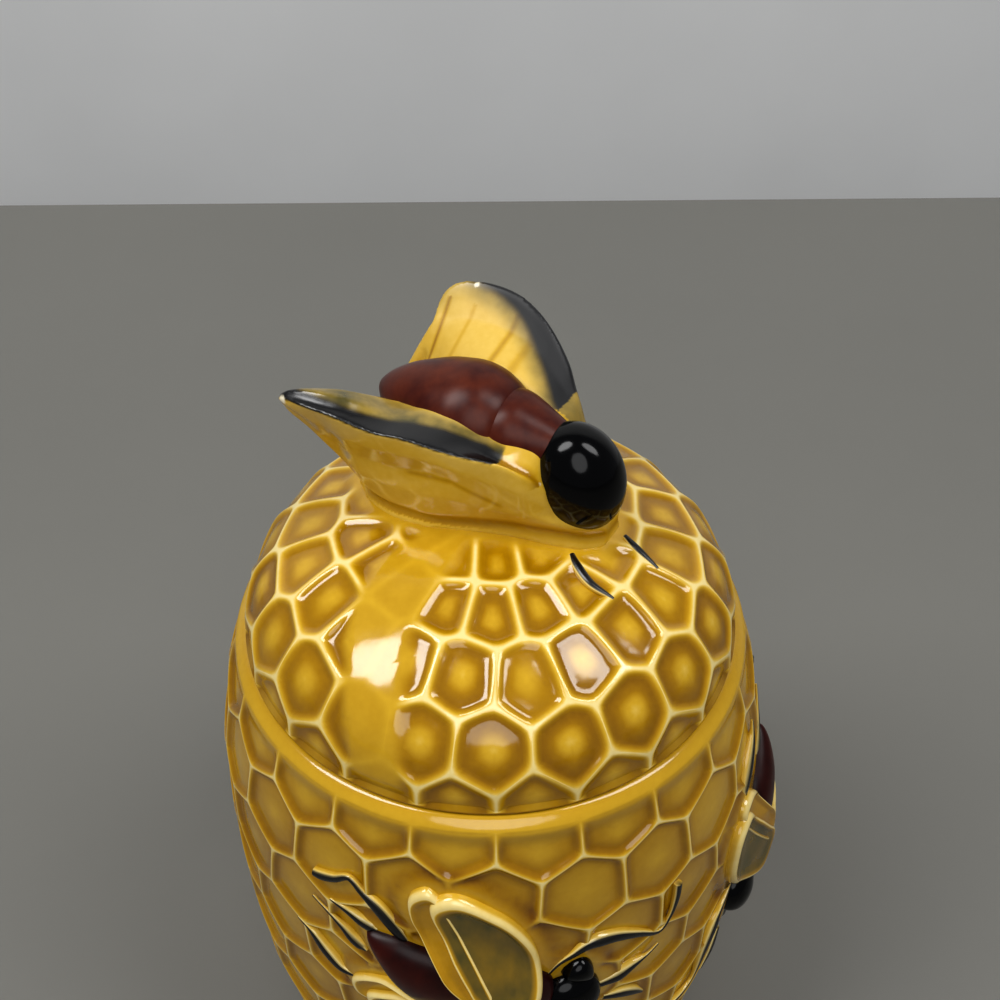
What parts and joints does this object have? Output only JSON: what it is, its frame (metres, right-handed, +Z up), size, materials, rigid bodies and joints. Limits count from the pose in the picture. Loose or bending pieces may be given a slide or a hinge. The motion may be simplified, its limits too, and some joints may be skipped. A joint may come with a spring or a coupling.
{
  "type": "honey pot with lid",
  "caption": "Glazed pottery honey pot shaped as a beehive, with a honeycomb relief, raised bees and a loose domed lid that a bee tops as its handle",
  "frame": {"origin": "centre of the flat foot, on the ground", "axes": "+Z is up along the pot's axis, -Y is the front with the front bee, +X is to the right"},
  "size_m": [0.097, 0.0965, 0.1404],
  "materials": {
    "honey_glaze": "glossy",
    "brown_glaze": "glossy",
    "black_glaze": "glossy",
    "wing_glaze": "glossy"
  },
  "bodies": {
    "pot": {"pot": "honey_glaze", "front_bee_abdomen": "brown_glaze", "front_bee_thorax": "brown_glaze", "front_bee_head": "black_glaze", "front_bee_forewings": "wing_glaze", "front_bee_hindwings": "wing_glaze", "front_bee_legs": "black_glaze", "right_bee_abdomen": "brown_glaze", "right_bee_thorax": "brown_glaze", "right_bee_head": "black_glaze", "right_bee_forewings": "wing_glaze", "right_bee_hindwings": "wing_glaze", "right_bee_legs": "black_glaze", "back_bee_abdomen": "brown_glaze", "back_bee_thorax": "brown_glaze", "back_bee_head": "black_glaze", "back_bee_forewings": "wing_glaze", "back_bee_hindwings": "wing_glaze", "back_bee_legs": "black_glaze"},
    "lid": {"lid": "honey_glaze", "finial_mound": "honey_glaze", "finial_abdomen": "brown_glaze", "finial_thorax": "brown_glaze", "finial_head": "black_glaze", "finial_right_forewing": "wing_glaze", "finial_right_hindwing": "wing_glaze", "finial_left_forewing": "wing_glaze", "finial_left_hindwing": "wing_glaze", "finial_feelers": "black_glaze"}
  },
  "joints": [
    {"name": "lid_lift", "type": "slide", "parent": "pot", "child": "lid", "axis": [0, 0, 1], "range_m": [0, 0.06]}
  ]
}
